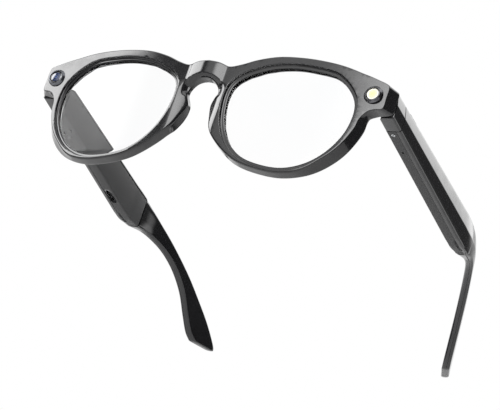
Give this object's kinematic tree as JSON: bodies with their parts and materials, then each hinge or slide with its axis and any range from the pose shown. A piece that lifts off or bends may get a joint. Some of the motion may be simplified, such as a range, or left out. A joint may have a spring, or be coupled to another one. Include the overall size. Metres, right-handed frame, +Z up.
{
  "type": "smart glasses",
  "caption": "Glasses with clear lenses, a camera and a light in the front, and folding hollow temples that hold batteries, boards and speakers.",
  "frame": {"origin": "centre of the bottom of the bounding box, on the surface that the ear tips touch", "axes": "+Z up, the front faces -Y, the temples run towards +Y, +X is the side of the status light"},
  "size_m": [0.1534, 0.1542, 0.0542],
  "materials": {
    "front_gloss": "polished black moulded plastic",
    "lens_clear": "clear hard-coated plastic lens",
    "flex_film": "amber polyimide film",
    "bezel_metal": "turned and anodised dark grey",
    "camera_glass": "coated cover glass with a blue sheen",
    "module_black": "black moulded part",
    "light_diffuser": "pale yellow light diffuser",
    "board_green": "green solder mask",
    "hinge_steel": "satin steel",
    "temple_gloss": "polished black moulded plastic",
    "cover_matte": "fine matt dark grey",
    "battery_foil": "foil pouch",
    "grille_steel": "blackened steel",
    "microphone_brass": "gilt can",
    "port_steel": "drawn steel shell",
    "button_gloss": "polished black cap"
  },
  "bodies": {
    "front": {"frame_front": "front_gloss", "lens_left": "lens_clear", "lens_right": "lens_clear", "front_flex": "flex_film", "camera_bezel": "bezel_metal", "camera_glass": "camera_glass", "camera_module": "module_black", "light_bezel": "bezel_metal", "light_window": "light_diffuser", "light_board": "board_green", "hinge_bracket_left": "hinge_steel", "hinge_bracket_right": "hinge_steel", "hinge_screw_left": "hinge_steel", "hinge_screw_right": "hinge_steel", "bracket_rivets_left": "hinge_steel", "bracket_rivets_right": "hinge_steel"},
    "temple_left": {"hinge_leaf_left": "hinge_steel", "hinge_housing_left": "temple_gloss", "temple_shell_left": "temple_gloss", "inner_cover_left": "cover_matte", "cover_screw_left": "hinge_steel", "core_wire_left": "hinge_steel", "battery_left": "battery_foil", "main_board": "board_green", "speaker_left": "module_black", "speaker_grille_left": "grille_steel", "microphone_left": "microphone_brass", "charge_port": "port_steel", "port_tongue": "module_black"},
    "temple_right": {"hinge_leaf_right": "hinge_steel", "hinge_housing_right": "temple_gloss", "temple_shell_right": "temple_gloss", "inner_cover_right": "cover_matte", "cover_screw_right": "hinge_steel", "core_wire_right": "hinge_steel", "battery_right": "battery_foil", "audio_board": "board_green", "speaker_right": "module_black", "speaker_grille_right": "grille_steel", "microphone_right": "microphone_brass", "touch_strip": "flex_film", "button_switch": "port_steel"},
    "button": {"capture_button": "button_gloss"}
  },
  "joints": [
    {"name": "temple_left_hinge", "type": "hinge", "parent": "front", "child": "temple_left", "pos_m": [-0.0696, -0.06327, 0.0415], "axis": [0, 0, -1], "range_deg": [0, 68]},
    {"name": "temple_right_hinge", "type": "hinge", "parent": "front", "child": "temple_right", "pos_m": [0.0696, -0.06327, 0.0415], "axis": [0, 0, 1], "range_deg": [0, 84]},
    {"name": "capture_press", "type": "slide", "parent": "temple_right", "child": "button", "axis": [-0.0023, -0.0771, -0.997], "range_m": [0, 0.0004], "stiffness_N_per_m": 3000}
  ]
}
